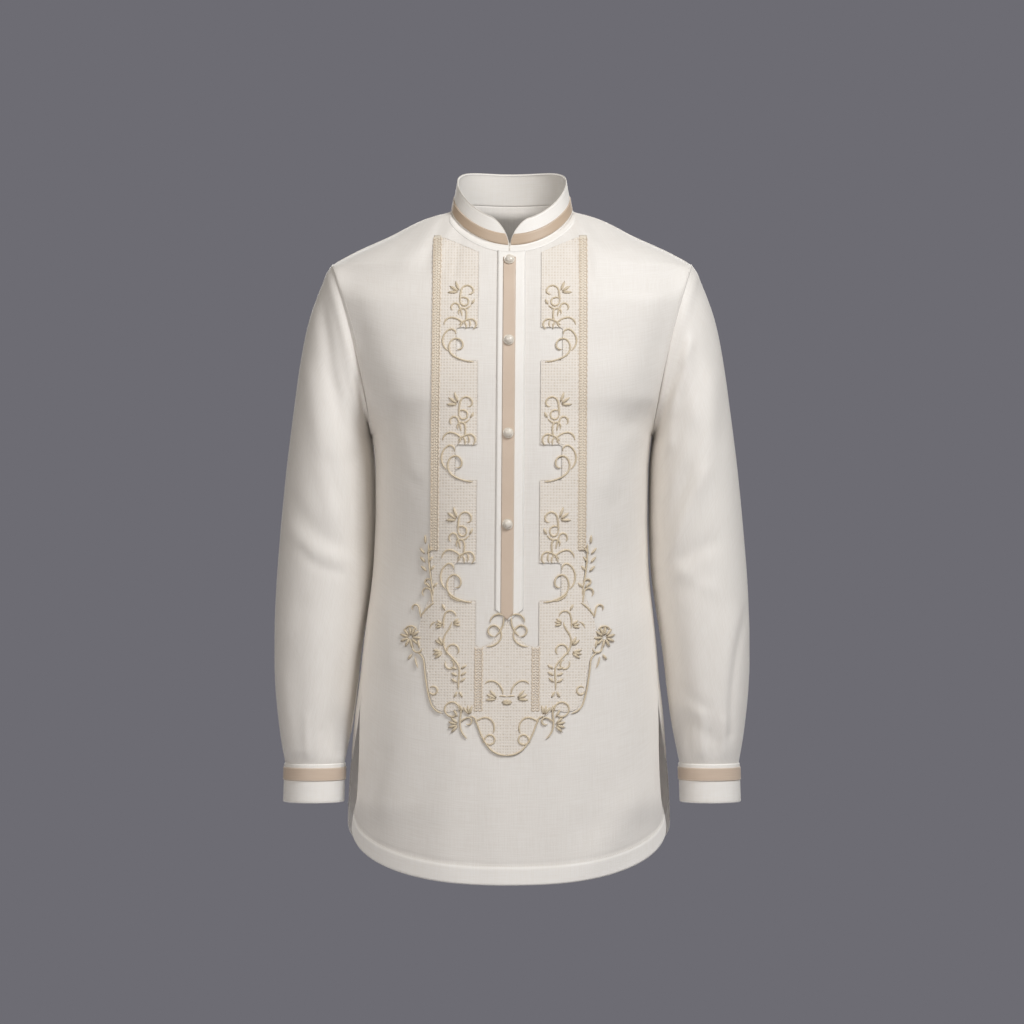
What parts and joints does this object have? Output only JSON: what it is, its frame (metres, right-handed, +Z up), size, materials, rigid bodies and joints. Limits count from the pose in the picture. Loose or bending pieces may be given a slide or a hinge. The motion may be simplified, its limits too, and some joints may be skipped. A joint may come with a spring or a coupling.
{
  "type": "barong tagalog shirt",
  "caption": "Long-sleeved stand-collar shirt of sheer ivory cloth with an embroidered breast panel, a half placket with pearl buttons, ribbon trim and a curved hem with side vents.",
  "frame": {"origin": "on the middle plane, level with the two side neck points where the shoulder seams meet the neckline and 8 mm behind them; the wearer's shoulders carry the shirt at that level", "axes": "+Z up, the front faces -Y, +X towards the wearer's left"},
  "size_m": [0.559, 0.2578, 0.8312],
  "materials": {
    "jusi_cloth": "sheer ivory woven cloth with fine slubs and a soft sheen",
    "interlined_cloth": "the same cloth over a stiff interlining, pressed smooth",
    "beige_ribbon": "beige satin ribbon, sewn along both edges",
    "tan_braid": "flat tan braid",
    "embroidered_net": "openwork net ground with tan-gold scroll embroidery",
    "pearl_shell": "pearly domed buttons"
  },
  "bodies": {
    "root": {"body_front": "jusi_cloth", "body_back": "jusi_cloth", "sleeve_left": "jusi_cloth", "sleeve_right": "jusi_cloth", "cuff_left": "interlined_cloth", "cuff_right": "interlined_cloth", "cuff_ribbon_left": "beige_ribbon", "cuff_ribbon_right": "beige_ribbon", "cuff_button_left": "pearl_shell", "cuff_button_right": "pearl_shell", "collar": "interlined_cloth", "collar_ribbon": "beige_ribbon", "placket": "interlined_cloth", "placket_ribbon": "beige_ribbon", "button_1": "pearl_shell", "button_2": "pearl_shell", "button_3": "pearl_shell", "button_4": "pearl_shell", "braid_left": "tan_braid", "braid_right": "tan_braid", "pechera_left": "embroidered_net", "pechera_right": "embroidered_net"}
  },
  "joints": []
}
